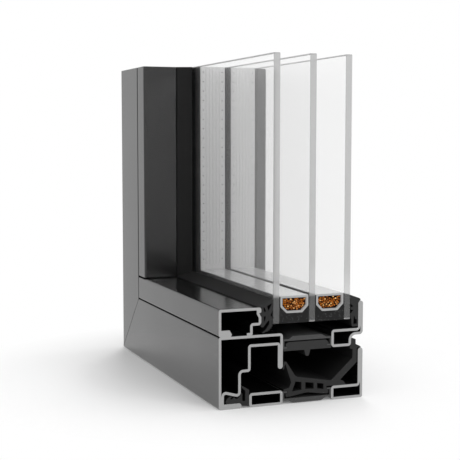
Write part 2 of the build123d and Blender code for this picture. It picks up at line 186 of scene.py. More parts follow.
class GlassUnitSizes(bpy.types.PropertyGroup):
    """Sizes of the glass unit's small parts."""

    spacer_height: length_property("Spacer height", "Height of the spacer's section", 9.7)
    spacer_wall: length_property("Spacer wall", "Wall round the spacer's bore", 1.2)
    spacer_chamfer: length_property("Spacer chamfer", "Cut on the spacer's lower corners", 3.7)
    rib_height: length_property("Rib height", "How far a rib stands off the spacer", 0.07)
    rib_width: length_property("Rib width", "Width of one rib", 0.6)
    rib_spread: length_property("Rib spread", "Width that the ribs take up", 9.9)
    rib_count: IntProperty(
        name="Ribs", description="Ribs along the spacer's face", default=5, min=2)
    hole_rows: length_property("Hole rows", "Distance between the rows of perforations", 13.2)
    hole_pitch: length_property("Hole pitch", "Distance between perforations", 6.2)
    hole_radius: length_property("Hole radius", "Radius of a perforation", 0.42)
    bead_size: length_property("Bead size", "Diameter of a drying bead", 1.1)
    arris: length_property("Arris", "Width of the ground arris on a pane's edges", 0.3)
    pane_relief: length_property("Pane relief", "Film of air between a pane and its seal", 0.02)


class StudioSettings(bpy.types.PropertyGroup):
    """Camera and light."""

    lens: FloatProperty(name="Lens", description="Focal length in millimetres", default=85, min=10)
    camera_place: FloatVectorProperty(
        name="Camera place", description="Where the camera stands", subtype="TRANSLATION",
        unit="LENGTH", default=(-0.24901, -0.6475, 0.14966))
    camera_turn: FloatProperty(
        name="Camera turn", description="Turn to the right of the rail's direction",
        default=math.radians(21.04), subtype="ANGLE", unit="ROTATION")
    camera_tilt: FloatProperty(
        name="Camera tilt", description="Tilt below the horizon",
        default=math.radians(4.876), subtype="ANGLE", unit="ROTATION")
    sky_level: level_property("Sky level", "Light from the surroundings", 0.62)
    key_power: level_property("Key light", "Strip light behind the jamb", 6.0, "POWER")
    side_power: level_property("Side light", "Soft light high on the weather side", 4.0, "POWER")
    fill_power: level_property(
        "Fill light", "Soft light in front of the rail's cut", 11.0, "POWER")
    floor_glow: level_property(
        "Floor glow", "White added to the floor as the camera sees it", 0.075)
    mirror_glow: level_property(
        "Mirror glow", "White added to the floor as a gloss shows it", 0.25)
    shadow_reach: length_property(
        "Shadow reach", "Distance at which the floor begins to turn plain white", 90)


class NodeBuilder:
    """Fills a tree anew. A socket given as a value is linked, and anything else is set."""

    def __init__(self, tree):
        self.tree = tree
        tree.nodes.clear()

    def add(self, kind, inputs=None, **settings):
        node = self.tree.nodes.new(kind)
        for key, value in settings.items():
            setattr(node, key, value)
        for key, value in (inputs or {}).items():
            self.feed(node.inputs[key], value)
        return node

    def feed(self, socket, value):
        if isinstance(value, bpy.types.NodeSocket):
            self.tree.links.new(value, socket)
        elif socket.type == "RGBA" and len(value) == 3:
            socket.default_value = (*value, 1.0)
        else:
            socket.default_value = value

    def maths(self, operation, *values):
        return self.add("ShaderNodeMath", dict(enumerate(values)), operation=operation).outputs[0]

    def split(self, vector):
        """X, Y and Z of a vector."""
        return self.add("ShaderNodeSeparateXYZ", {0: vector}).outputs

    def blend(self, factor, first, second):
        """Colour between two colours."""
        node = self.add("ShaderNodeMix", {0: factor, 6: first, 7: second}, data_type="RGBA")
        return node.outputs[2]

    def between(self, value, low, high, to_low=0.0, to_high=1.0):
        """Value carried from one range to another and kept inside it."""
        inputs = {0: value, 1: low, 2: high, 3: to_low, 4: to_high}
        return self.add("ShaderNodeMapRange", inputs).outputs[0]


def effect_group(name, values_in, values_out):
    """Empty shader group that reads a place and values.

    Returns its builder, the sockets that it reads and the sockets that it fills.
    """
    tree = bpy.data.node_groups.new(name, "ShaderNodeTree")
    tree.interface.new_socket("Place", in_out="INPUT", socket_type="NodeSocketVector")
    for label in values_in:
        tree.interface.new_socket(label, in_out="INPUT", socket_type="NodeSocketFloat")
    for label in values_out:
        tree.interface.new_socket(label, in_out="OUTPUT", socket_type="NodeSocketFloat")
    nodes = NodeBuilder(tree)
    return nodes, nodes.add("NodeGroupInput").outputs, nodes.add("NodeGroupOutput").inputs


def shared_effect(name):
    """The named effect group, made the first time it is asked for."""
    return bpy.data.node_groups.get(name) or EFFECTS[name](name)


def about_one(nodes, value, middle, contrast):
    """Factor that swings about 1 as the value swings about its middle."""
    swing = nodes.maths("SUBTRACT", value, middle)
    return nodes.maths("ADD", nodes.maths("MULTIPLY", swing, contrast), 1.0)


def over_section(nodes, given):
    """Height over the rail's and over the jamb's outer edge, the lesser of them, and depth."""
    place = nodes.split(given["Place"])
    on_jamb = nodes.maths("SUBTRACT", given["Mitre sum"], place["Y"])
    height = nodes.maths("MINIMUM", place["Z"], on_jamb)
    depth = nodes.maths("SUBTRACT", place["X"], given["Room face"])
    return place["Z"], on_jamb, height, depth


def make_cut_mask(name):
    """1 on the sawn ends of the rail and the jamb, 0 elsewhere."""
    nodes, given, result = effect_group(name, ("Rail cut", "Jamb cut"), ("Mask",))
    place = nodes.split(given["Place"])
    rail = nodes.maths("LESS_THAN", place["Y"], given["Rail cut"])
    jamb = nodes.maths("GREATER_THAN", place["Z"], given["Jamb cut"])
    nodes.feed(result["Mask"], nodes.maths("MAXIMUM", rail, jamb))
    return nodes.tree


def make_saw_marks(name):
    """Fine lines across the sawn ends, as a tone about 1 and a height."""
    nodes, given, result = effect_group(
        name, ("Marks per metre", "Contrast"), ("Tone", "Height"))
    # The marks run along X, so the noise is drawn out that way.
    drawn_out = (0.06, 1.0, 1.0)
    place = nodes.add(
        "ShaderNodeVectorMath", {0: given["Place"], 1: drawn_out}, operation="MULTIPLY")
    mark = nodes.add("ShaderNodeTexNoise", {
        "Vector": place.outputs[0], "Scale": given["Marks per metre"],
        "Detail": 3.0}).outputs["Fac"]
    nodes.feed(result["Tone"], about_one(nodes, mark, 0.5, given["Contrast"]))
    nodes.feed(result["Height"], mark)
    return nodes.tree


def make_fine_grain(name):
    """Even small grain, as of powder coat, rubber or plastic, with slow drifts of tone."""
    nodes, given, result = effect_group(
        name, ("Grains per metre", "Contrast"), ("Tone", "Height"))
    drifts_per_metre = 14.0

    def noise(scale):
        return nodes.add("ShaderNodeTexNoise", {
            "Vector": given["Place"], "Scale": scale, "Detail": 2.0}).outputs["Fac"]

    grain = noise(given["Grains per metre"])
    both = nodes.maths("ADD", grain, noise(drifts_per_metre))
    nodes.feed(result["Tone"], about_one(nodes, both, 1.0, given["Contrast"]))
    nodes.feed(result["Height"], grain)
    return nodes.tree


def make_specks(name):
    """Small separate grains scattered through a mass, as a mask."""
    nodes, given, result = effect_group(name, ("Specks per metre", "Share"), ("Mask",))
    speck_radius = 0.33
    cells = nodes.add("ShaderNodeTexVoronoi", {
        "Vector": given["Place"], "Scale": given["Specks per metre"]}).outputs
    near = nodes.maths("LESS_THAN", cells["Distance"], speck_radius)
    pick = nodes.add("ShaderNodeSeparateColor", {0: cells["Color"]}).outputs[0]
    chosen = nodes.maths("LESS_THAN", pick, given["Share"])
    nodes.feed(result["Mask"], nodes.maths("MULTIPLY", near, chosen))
    return nodes.tree


def make_hollow_mask(name):
    """1 on the faces inside the section's hollows, by height and depth, 0 outside."""
    nodes, given, result = effect_group(
        name,
        ("Mitre sum", "Room face", "Weather limit", "Skin", "Sash top", "Bead back", "Bead top"),
        ("Mask",))
    height, depth = over_section(nodes, given)[2:]
    skin = given["Skin"]

    def inside(value, low, high):
        above = nodes.maths("GREATER_THAN", value, low)
        below = nodes.maths("LESS_THAN", value, high)
        return nodes.maths("MULTIPLY", above, below)

    under_sash = nodes.maths("SUBTRACT", given["Sash top"], skin)
    over_sash = nodes.maths("ADD", given["Sash top"], skin)
    under_bead = nodes.maths("SUBTRACT", given["Bead top"], skin)
    behind_bead = nodes.maths("SUBTRACT", given["Bead back"], skin)
    lower = nodes.maths(
        "MULTIPLY", inside(height, skin, under_sash), inside(depth, skin, given["Weather limit"]))
    upper = nodes.maths(
        "MULTIPLY", inside(height, over_sash, under_bead), inside(depth, skin, behind_bead))
    nodes.feed(result["Mask"], nodes.maths("MAXIMUM", lower, upper))
    return nodes.tree


def make_joint_and_shade_lines(name):
    """1 on the steel's dark joints (mitre, the bead's groove and foot) and painted shade by the
    gasket.
    """
    nodes, given, result = effect_group(
        name,
        ("Mitre sum", "Room face", "Groove height", "Bead top", "Bead back", "Lip edge",
         "Half width"),
        ("Mask",))
    on_rail, on_jamb, height, depth = over_section(nodes, given)
    half = given["Half width"]
    wide_half = nodes.maths("MULTIPLY", half, 1.6)
    foot_half = nodes.maths("MULTIPLY", half, 2.2)
    groove_depth = 1.2 * MM

    def near(value, target, reach):
        away = nodes.maths("ABSOLUTE", nodes.maths("SUBTRACT", value, target))
        return nodes.maths("LESS_THAN", away, reach)

    on_bead = nodes.maths(
        "MULTIPLY", nodes.maths("GREATER_THAN", height, given["Groove height"]),
        nodes.maths("LESS_THAN", depth, given["Bead back"]))
    mitre = nodes.maths(
        "MULTIPLY", near(on_rail, on_jamb, half), nodes.maths("SUBTRACT", 1.0, on_bead))
    groove = nodes.maths(
        "MULTIPLY", near(height, given["Groove height"], wide_half),
        nodes.maths("LESS_THAN", depth, groove_depth))
    past_rail = nodes.maths("LESS_THAN", on_jamb, nodes.maths("ADD", given["Bead top"], half))
    foot = nodes.maths(
        "MULTIPLY", near(on_rail, given["Bead top"], foot_half),
        nodes.maths("MULTIPLY", past_rail, on_bead))
    # Painted contact shadow on the bead's top along the edge of the gasket's lip.
    lip = nodes.maths(
        "MULTIPLY", near(depth, given["Lip edge"], wide_half),
        nodes.maths("GREATER_THAN", height, nodes.maths("SUBTRACT", given["Bead top"], half)))
    lines = nodes.maths("MAXIMUM", nodes.maths("MAXIMUM", mitre, groove), foot)
    nodes.feed(result["Mask"], nodes.maths("MAXIMUM", lines, lip))
    return nodes.tree


EFFECTS = {
    "Cut mask": make_cut_mask,
    "Saw marks": make_saw_marks,
    "Fine grain": make_fine_grain,
    "Specks": make_specks,
    "Hollow mask": make_hollow_mask,
    "Joint and shade lines": make_joint_and_shade_lines,
}


class Finish:
    """A material with one Principled shader, its place vector and the shared effects."""

    def __init__(self, name, **plain):
        self.material = bpy.data.materials.new(name)
        self.material.use_nodes = True
        self.nodes = NodeBuilder(self.material.node_tree)
        self.shader = self.nodes.add("ShaderNodeBsdfPrincipled")
        self.nodes.add("ShaderNodeOutputMaterial", {"Surface": self.shader.outputs[0]})
        self.place = self.nodes.add("ShaderNodeTexCoord").outputs["Object"]
        for key, value in plain.items():
            self.set(key.replace("_", " "), value)

    def set(self, key, value):
        names = {socket.name.lower(): socket for socket in self.shader.inputs}
        self.nodes.feed(names[key.lower()], value)

    def effect(self, name, **values):
        """Outputs of a shared effect with these values."""
        node = self.nodes.add("ShaderNodeGroup", node_tree=shared_effect(name))
        self.nodes.feed(node.inputs["Place"], self.place)
        for key, value in values.items():
            self.nodes.feed(node.inputs[key.replace("_", " ").capitalize()], value)
        return node.outputs

    def cut_mask(self):
        """Mask of the sawn ends."""
        skin = 0.05 * MM
        return self.effect(
            "Cut mask", rail_cut=RAIL_CUT + skin, jamb_cut=JAMB_CUT - skin)["Mask"]

    def hollow_mask(self, weather_limit, bead_back):
        """Mask of the hollows: below the sash's top to one depth, above it to the bead's back."""
        return self.effect(
            "Hollow mask", mitre_sum=MITRE_SUM, room_face=ROOM_FACE, sash_top=SASH_TOP,
            bead_top=BEAD_TOP, skin=0.35 * MM, weather_limit=weather_limit,
            bead_back=bead_back)["Mask"]

    def toned(self, colour, factor):
        """A colour made lighter or darker by a factor that varies over the surface."""
        changed = self.nodes.add(
            "ShaderNodeVectorMath", {0: colour, 3: factor}, operation="SCALE")
        return changed.outputs[0]

    def bump(self, height, distance, strength):
        """Relief that the light shows, from a height."""
        node = self.nodes.add("ShaderNodeBump", {
            "Height": height, "Distance": distance, "Strength": strength})
        self.set("Normal", node.outputs[0])


def scaled(colour, factor):
    """A plain colour made lighter or darker."""
    return tuple(channel * factor for channel in colour)


def painted_steel(finish):
    """Powder coat outside; near black without gloss, as painted shade, on the primed steel in the
    bores and on the dark lines; bright metal on the sawn ends.
    """
    steel = Finish(
        "Painted steel", specular_ior_level=0.0, roughness=0.5, coat_roughness=0.22,
        coat_ior=1.57)
    nodes = steel.nodes
    cut = steel.cut_mask()
    saw = steel.effect("Saw marks", marks_per_metre=SAW_MARKS_PER_METRE, contrast=0.16)
    coat = steel.effect("Fine grain", grains_per_metre=1500.0, contrast=0.16)
    joint_and_shade_lines = steel.effect(
        "Joint and shade lines", mitre_sum=MITRE_SUM, room_face=ROOM_FACE, groove_height=SASH_TOP,
        bead_top=BEAD_TOP, bead_back=BEAD_DEPTH, lip_edge=LIP_EDGE - ROOM_FACE,
        half_width=0.3 * MM)["Mask"]
    # Painted shade: the hollows and the dark lines take the near-black bore colour and no coat.
    hollow = steel.hollow_mask(weather_limit=66 * MM, bead_back=BEAD_DEPTH)
    dark = nodes.maths("MAXIMUM", hollow, joint_and_shade_lines)
    paint = steel.toned(tuple(finish.paint), coat["Tone"])
    painted = nodes.blend(dark, paint, tuple(finish.bore))
    metal = steel.toned(tuple(finish.cut_steel), saw["Tone"])
    steel.set("Base Color", nodes.blend(cut, painted, metal))
    plain = nodes.maths("SUBTRACT", 1.0, nodes.maths("MAXIMUM", dark, cut))
    steel.set("Coat Weight", nodes.maths("MULTIPLY", plain, coat["Tone"]))
    bare_metallic = 0.3
    steel.set("Metallic", nodes.maths("MULTIPLY", cut, bare_metallic))
    coat_share = 0.4
    height = nodes.maths(
        "ADD", nodes.maths("MULTIPLY", saw["Height"], cut),
        nodes.maths("MULTIPLY", coat["Height"], coat_share))
    steel.bump(height, distance=0.006 * MM, strength=0.4)
    return steel.material


def rubber(finish):
    """Black gasket rubber, paler and duller where it is sawn, in painted shade on hidden flanks.
    """
    gasket = Finish("Gasket rubber", ior=1.33)
    nodes = gasket.nodes
    cut = gasket.cut_mask()
    grain = gasket.effect("Fine grain", grains_per_metre=2500.0, contrast=0.25)
    # Painted shade: the flanks hidden behind the bead and the end of the inner gasket's lip take
    # the near-black bore colour.
    deep = gasket.hollow_mask(weather_limit=0.0, bead_back=GLASS_FACE - ROOM_FACE)
    lip_reach = 0.1 * MM
    lip_end = nodes.maths("COMPARE", nodes.split(gasket.place)["X"], LIP_EDGE, lip_reach)
    shade = nodes.maths("MAXIMUM", deep, lip_end)
    face = nodes.blend(shade, tuple(finish.gasket), tuple(finish.bore))
    skin = gasket.toned(face, grain["Tone"])
    sawn = gasket.toned(tuple(finish.gasket_cut), grain["Tone"])
    gasket.set("Base Color", nodes.blend(cut, skin, sawn))
    gasket.set("Roughness", nodes.between(cut, 0, 1, to_low=0.75, to_high=0.85))
    gasket.bump(grain["Height"], distance=0.02 * MM, strength=0.6)
    return gasket.material


def fibre_plastic(name, colour):
    """Matt plastic with short pale fibres that show as specks on the sawn ends."""
    plastic = Finish(name, roughness=0.62, ior=1.5)
    grain = plastic.effect("Fine grain", grains_per_metre=1800.0, contrast=0.22)
    fibres = plastic.effect("Specks", specks_per_metre=1500.0, share=0.18)
    base = plastic.toned(tuple(colour), grain["Tone"])
    pale = scaled(colour, 1.6)
    plastic.set("Base Color", plastic.nodes.blend(fibres["Mask"], base, pale))
    plastic.bump(grain["Height"], distance=0.02 * MM, strength=0.5)
    return plastic.material


def edge_sealant(finish):
    """Near-black sealant with pale filler grains, and a greyer first seal beside the spacer."""
    seal = Finish("Edge sealant", roughness=0.75, ior=1.4)
    nodes = seal.nodes
    place = nodes.split(seal.place)
    height = nodes.maths("MINIMUM", place["Z"], nodes.maths("SUBTRACT", UNIT_SUM, place["Y"]))
    beside = nodes.between(height, SPACER_FOOT, SPACER_FOOT + MM)
    uncut = nodes.maths("SUBTRACT", 1.0, seal.cut_mask())
    first = nodes.maths("MULTIPLY", beside, uncut)
    grain = seal.effect("Fine grain", grains_per_metre=1200.0, contrast=0.5)
    specks = seal.effect("Specks", specks_per_metre=1900.0, share=0.2)
    plain = nodes.blend(first, tuple(finish.sealant), tuple(finish.first_seal))
    base = seal.toned(plain, grain["Tone"])
    seal.set("Base Color", nodes.blend(specks["Mask"], base, tuple(finish.speck)))
    seal.bump(grain["Height"], distance=0.05 * MM, strength=0.6)
    return seal.material


def spacer_metal(name, colour, finish):
    """Pale metal with a clear polish, dull on the sawn ends."""
    metal = Finish(
        name, specular_ior_level=0.0, roughness=0.5, coat_roughness=0.06, coat_ior=1.5)
    nodes = metal.nodes
    cut = metal.cut_mask()
    saw = metal.effect("Saw marks", marks_per_metre=SAW_MARKS_PER_METRE, contrast=0.14)
    grain = metal.effect("Fine grain", grains_per_metre=900.0, contrast=0.08)
    base = metal.toned(colour, grain["Tone"])
    sawn = metal.toned(tuple(finish.cut_steel), saw["Tone"])
    metal.set("Base Color", nodes.blend(cut, base, sawn))
    metal.set("Coat Weight", nodes.maths("SUBTRACT", 1.0, cut))
    metal.bump(saw["Height"], distance=0.008 * MM, strength=0.5)
    return metal.material


def clear_glass(finish):
    """Thin clear glass: hardly any bend of the light, and a soft shine on both faces."""
    return Finish(
        "Clear glass", base_color=tuple(finish.glass), roughness=0.0, ior=1.02,
        transmission_weight=1.0, coat_weight=0.85, coat_roughness=0.4, coat_ior=1.6).material


def ground_edge(finish, bedded_below):
    """Ground pane edge, half see-through, with painted shade where it is bedded and a painted
    highlight at its foot.
    """
    edge = Finish("Ground pane edge", roughness=0.35, ior=1.5)
    nodes = edge.nodes
    place = nodes.split(edge.place)
    fade = 1.2 * MM
    bedded_beyond = UNIT_SUM - bedded_below
    low = nodes.between(place["Z"], bedded_below, bedded_below - fade)
    far = nodes.between(place["Y"], bedded_beyond, bedded_beyond + fade)
    # Only the middle and the outer pane get the painted highlight at the foot.
    past_inner_pane = GLASS_FACE + 10 * MM
    pale = nodes.maths(
        "MULTIPLY", nodes.between(place["Z"], PANE_FOOT + fade, PANE_FOOT + fade / 2),
        nodes.maths("GREATER_THAN", place["X"], past_inner_pane))
    # Painted shade where the edge is bedded, except on the painted highlight.
    bedded = nodes.maths(
        "MULTIPLY", nodes.maths("MAXIMUM", low, far), nodes.maths("SUBTRACT", 1.0, pale))
    clearer_reach = 14 * MM
    edge.set("Alpha", nodes.between(
        place["Z"], bedded_below, bedded_below + clearer_reach, to_low=0.6, to_high=0.85))
    grain = edge.effect("Fine grain", grains_per_metre=2200.0, contrast=0.12)
    mixed = nodes.blend(bedded, tuple(finish.pane_edge), tuple(finish.bedded_edge_shade))
    edge.set("Base Color", edge.toned(mixed, grain["Tone"]))
    edge.bump(grain["Height"], distance=0.01 * MM, strength=0.5)
    return edge.material


def drying_beads(finish):
    """Amber drying beads, each with its own random tone, darker as painted shade the deeper it
    lies.
    """
    beads = Finish("Drying beads", roughness=0.25, ior=1.35)
    nodes = beads.nodes
    pick = nodes.add("ShaderNodeAttribute", attribute_name="bead_tone_and_shade").outputs["Fac"]
    to_amber = nodes.between(pick, 0.1, 0.5)
    to_pale = nodes.between(pick, 0.55, 0.95)
    lower = nodes.blend(to_amber, tuple(finish.bead_dark), tuple(finish.bead_mid))
    upper = nodes.blend(to_pale, lower, tuple(finish.bead_pale))
    grain = beads.effect("Fine grain", grains_per_metre=2500.0, contrast=0.3)
    beads.set("Base Color", beads.toned(upper, grain["Tone"]))
    beads.bump(grain["Height"], distance=0.03 * MM, strength=0.5)
    return beads.material


def bead_shadow(finish):
    """Packed beads behind the ones that show, matt and dark as painted shade."""
    shadow = Finish("Bead fill", roughness=0.9, ior=1.2)
    packed = shadow.effect("Specks", specks_per_metre=900.0, share=0.7)
    # Painted shade: the packed gaps near black and the packed beads dark.
    gap = scaled(finish.bead_dark, 0.1)
    bead = scaled(finish.bead_dark, 0.25)
    shadow.set("Base Color", shadow.nodes.blend(packed["Mask"], gap, bead))
    return shadow.material


def perforation_shadow(finish):
    """Painted shadow on the plugs that stand for the insides of a spacer's perforations."""
    hole = Finish("Perforation", roughness=0.8)
    grain = hole.effect("Fine grain", grains_per_metre=2500.0, contrast=0.2)
    hole.set("Base Color", hole.toned(tuple(finish.perforation), grain["Tone"]))
    return hole.material


def dress(node, material):
    """Gives a node from model.glb one material."""
    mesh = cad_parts[node].data
    mesh.materials.clear()
    mesh.materials.append(material)


def dress_profiles(names, material):
    """Gives the rail's and the jamb's node of each name one material."""
    for name in names:
        for side in SIDES:
            dress(f"{name}_{side}", material)


def new_piece(name, mesh, materials, replaced=None):
    """Links a finished mesh as a piece that rides on the section."""
    piece = bpy.data.objects.new(name, mesh)
    bpy.context.scene.collection.objects.link(piece)
    if not mesh.materials:
        for material in materials:
            mesh.materials.append(material)
    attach(piece, "root")
    if replaced:
        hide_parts(replaced)


def joined(meshes):
    """One mesh from several that share a list of materials."""
    whole = bmesh.new()
    for mesh in meshes:
        whole.from_mesh(mesh)
    result = bpy.data.meshes.new("joined")
    whole.to_mesh(result)
    whole.free()
    return result


class GeometryTree(NodeBuilder):
    """A geometry node tree with named inputs, run on an empty mesh."""

    def __init__(self, name, inputs):
        super().__init__(bpy.data.node_groups.new(name, "GeometryNodeTree"))
        face = self.tree.interface
        face.new_socket("Geometry", in_out="INPUT", socket_type="NodeSocketGeometry")
        face.new_socket("Geometry", in_out="OUTPUT", socket_type="NodeSocketGeometry")
        self.keys = {}
        for label, kind in inputs:
            socket = face.new_socket(label, in_out="INPUT", socket_type="NodeSocket" + kind)
            self.keys[label] = socket.identifier
        self.given = self.add("NodeGroupInput").outputs

    def point(self, x=0.0, y=0.0, z=0.0):
        return self.add("ShaderNodeCombineXYZ", {0: x, 1: y, 2: z}).outputs[0]

    def close(self, geometry):
        """Ends the tree with plain geometry that carries its material."""
        real = self.add("GeometryNodeRealizeInstances", {0: geometry}).outputs[0]
        made = self.add("GeometryNodeSetMaterial", {
            "Geometry": real, "Material": self.given["Material"]}).outputs[0]
        self.add("NodeGroupOutput", {0: made})

    def run(self, place, **values):
        """Plain mesh that the tree makes from these inputs, moved to its place."""
        carrier = bpy.data.objects.new("carrier", bpy.data.meshes.new("carrier"))
        bpy.context.scene.collection.objects.link(carrier)
        modifier = carrier.modifiers.new("Build", "NODES")
        modifier.node_group = self.tree
        for key, value in values.items():
            modifier[self.keys[key.replace("_", " ").capitalize()]] = value
        evaluated = carrier.evaluated_get(bpy.context.evaluated_depsgraph_get())
        mesh = bpy.data.meshes.new_from_object(evaluated)
        carrier.modifiers.remove(modifier)
        bpy.data.objects.remove(carrier)
        if not mesh.polygons:
            raise RuntimeError(f"{self.tree.name} made no faces")
        mesh.transform(place)
        return mesh


def rib_tree():
    """Low round ribs along +Y, spread over a width about X 0."""
    tree = GeometryTree("Spacer ribs", [
        ("Length", "Float"), ("Width", "Float"), ("Rib width", "Float"), ("Rib height", "Float"),
        ("Ribs", "Int"), ("Material", "Material")])
    given = tree.given
    line = tree.add("GeometryNodeCurvePrimitiveLine", {"End": tree.point(y=given["Length"])})
    round_profile = tree.add("GeometryNodeCurvePrimitiveCircle", {"Resolution": 10, "Radius": 1.0})
    flat = tree.point(tree.maths("DIVIDE", given["Rib width"], 2.0), given["Rib height"], 1.0)
    profile = tree.add("GeometryNodeTransform", {
        "Geometry": round_profile.outputs[0], "Scale": flat})
    rib = tree.add("GeometryNodeCurveToMesh", {
        "Curve": line.outputs[0], "Profile Curve": profile.outputs[0], "Fill Caps": True})
    span = tree.maths("SUBTRACT", given["Width"], given["Rib width"])
    steps = tree.maths("SUBTRACT", given["Ribs"], 1.0)
    row = tree.add("GeometryNodeMeshLine", {
        "Count": given["Ribs"],
        "Start Location": tree.point(tree.maths("MULTIPLY", span, -0.5)),
        "Offset": tree.point(tree.maths("DIVIDE", span, steps))})
    placed = tree.add("GeometryNodeInstanceOnPoints", {
        "Points": row.outputs[0], "Instance": rib.outputs[0]})
    tree.close(placed.outputs[0])
    return tree


def perforation_tree():
    """Two rows of small round plugs along +Y, sunk in the face, a given distance apart."""
    tree = GeometryTree("Spacer perforations", [
        ("Length", "Float"), ("Row gap", "Float"), ("Pitch", "Float"), ("Radius", "Float"),
        ("Depth", "Float"), ("Material", "Material")])
    given = tree.given
    count = tree.maths("FLOOR", tree.maths("DIVIDE", given["Length"], given["Pitch"]))
    reach = tree.maths("MULTIPLY", tree.maths("SUBTRACT", count, 1.0), given["Pitch"])
    grid = tree.add("GeometryNodeMeshGrid", {
        "Size X": given["Row gap"], "Size Y": reach, "Vertices X": 2, "Vertices Y": count})
    shift = tree.point(y=tree.maths("DIVIDE", given["Length"], 2.0))
    rows = tree.add("GeometryNodeTransform", {"Geometry": grid.outputs[0], "Translation": shift})
    plug = tree.add("GeometryNodeMeshCylinder", {
        "Vertices": 12, "Radius": given["Radius"], "Depth": given["Depth"]})
    placed = tree.add("GeometryNodeInstanceOnPoints", {
        "Points": rows.outputs[0], "Instance": plug.outputs[0]})
    tree.close(placed.outputs[0])
    return tree


def bead_tree():
    """Loose beads in the mouth of a spacer's bore, X across, Y up from its floor, going down Z."""
    tree = GeometryTree("Drying beads", [
        ("Width", "Float"), ("Height", "Float"), ("Chamfer", "Float"), ("Bead", "Float"),
        ("Seed", "Int"), ("Material", "Material")])
    given = tree.given
    plane = tree.add("GeometryNodeMeshGrid", {
        "Size X": given["Width"], "Size Y": given["Height"], "Vertices X": 2, "Vertices Y": 2})
    raised = tree.add("GeometryNodeTransform", {
        "Geometry": plane.outputs[0],
        "Translation": tree.point(y=tree.maths("DIVIDE", given["Height"], 2.0))})
    layers = tree.add("GeometryNodeJoinGeometry")
    for layer in range(BEAD_LAYERS):
        spread = tree.add("GeometryNodeDistributePointsOnFaces", {
            "Mesh": raised.outputs[0], "Density Max": BEAD_TRIES,
            "Distance Min": tree.maths("MULTIPLY", given["Bead"], BEAD_SPACING),
            "Seed": tree.maths("ADD", given["Seed"], float(layer))},
            distribute_method="POISSON")
        depth = tree.maths("MULTIPLY", given["Bead"], -LAYER_STEP * layer)
        uneven = tree.add("FunctionNodeRandomValue", {
            2: 0.0, 3: -LAYER_SCATTER, "Seed": layer}, data_type="FLOAT").outputs[1]
        sunk = tree.add("GeometryNodeSetPosition", {
            "Geometry": spread.outputs["Points"],
            "Offset": tree.point(z=tree.maths("ADD", depth, uneven))})
        tree.feed(layers.inputs[0], sunk.outputs[0])
    place = tree.split(tree.add("GeometryNodeInputPosition").outputs[0])
    radius = tree.maths("DIVIDE", given["Bead"], 2.0)
    side = tree.maths("ABSOLUTE", place[0])
    wall = tree.maths("SUBTRACT", tree.maths("DIVIDE", given["Width"], 2.0), radius)
    tests = [
        tree.maths("GREATER_THAN", side, wall),
        tree.maths("LESS_THAN", place[1], radius),
        tree.maths("GREATER_THAN", place[1], tree.maths("SUBTRACT", given["Height"], radius)),
        tree.maths("GREATER_THAN", tree.maths("SUBTRACT", side, place[1]),
                   tree.maths("SUBTRACT", wall, given["Chamfer"])),
    ]
    outside = tests[0]
    for test in tests[1:]:
        outside = tree.maths("MAXIMUM", outside, test)
    kept = tree.add("GeometryNodeDeleteGeometry", {
        "Geometry": layers.outputs[0], "Selection": outside}, domain="POINT").outputs[0]
    ball = tree.add("GeometryNodeMeshUVSphere", {
        "Segments": 8, "Rings": 5, "Radius": radius}).outputs[0]
    smooth = tree.add("GeometryNodeSetShadeSmooth", {0: ball}).outputs[0]
    smallest, largest = (0.86, 0.82, 0.86), (1.06, 1.04, 1.06)
    scale = tree.add("FunctionNodeRandomValue", {
        0: smallest, 1: largest, "Seed": 7}, data_type="FLOAT_VECTOR")
    full_turn = (6.28, 6.28, 6.28)
    turn = tree.add("FunctionNodeRandomValue", {
        0: (0.0, 0.0, 0.0), 1: full_turn, "Seed": 11}, data_type="FLOAT_VECTOR")
    beads = tree.add("GeometryNodeInstanceOnPoints", {
        "Points": kept, "Instance": smooth, "Scale": scale.outputs[0],
        "Rotation": turn.outputs[0]}).outputs[0]
    dimmest, brightest = 0.3, 1.0
    shade = tree.add("FunctionNodeRandomValue", {
        2: dimmest, 3: brightest, "Seed": 3}, data_type="FLOAT")
    # Painted shade: beads sunk deeper into the bore get a darker tone.
    lit = tree.between(place[2], tree.maths("MULTIPLY", given["Bead"], -UNLIT_DEPTH), 0.0)
    toned = tree.add("GeometryNodeStoreNamedAttribute", {
        "Geometry": beads, "Name": "bead_tone_and_shade",
        "Value": tree.maths("MULTIPLY", shade.outputs[1], lit)},
        data_type="FLOAT", domain="INSTANCE").outputs[0]
    tree.close(toned)
    return tree


def rail_face(x, z):
    """Frame of a spacer surface that faces up: X across, Y along the rail, Z up."""
    return Matrix.Translation((x, RAIL_CUT + CUT_SKIN, z))


def jamb_face(x, z):
    """The same surface on the jamb: Y runs down from the jamb's cut, Z faces the rail's cut."""
    turn = Matrix(((1, 0, 0, 0), (0, 0, -1, 0), (0, -1, 0, 0), (0, 0, 0, 1)))
    return Matrix.Translation((x, UNIT_SUM - z, JAMB_CUT - CUT_SKIN)) @ turn


def bent_run(name, corners, recess):
    """Closed bar round the corner with this (x, z) outline, short of both cuts by the recess."""
    shape = bmesh.new()
    rings = [
        [shape.verts.new((x, RAIL_CUT + recess, z)) for x, z in corners],
        [shape.verts.new((x, UNIT_SUM - z, z)) for x, z in corners],
        [shape.verts.new((x, UNIT_SUM - z, JAMB_CUT - recess)) for x, z in corners],
    ]
    count = len(corners)
    for first, second in zip(rings, rings[1:]):
        for i in range(count):
            after = (i + 1) % count
            shape.faces.new((first[i], first[after], second[after], second[i]))
    shape.faces.new(rings[0])
    shape.faces.new(rings[-1])
    bmesh.ops.recalc_face_normals(shape, faces=shape.faces)
    mesh = bpy.data.meshes.new(name)
    shape.to_mesh(mesh)
    shape.free()
    return mesh


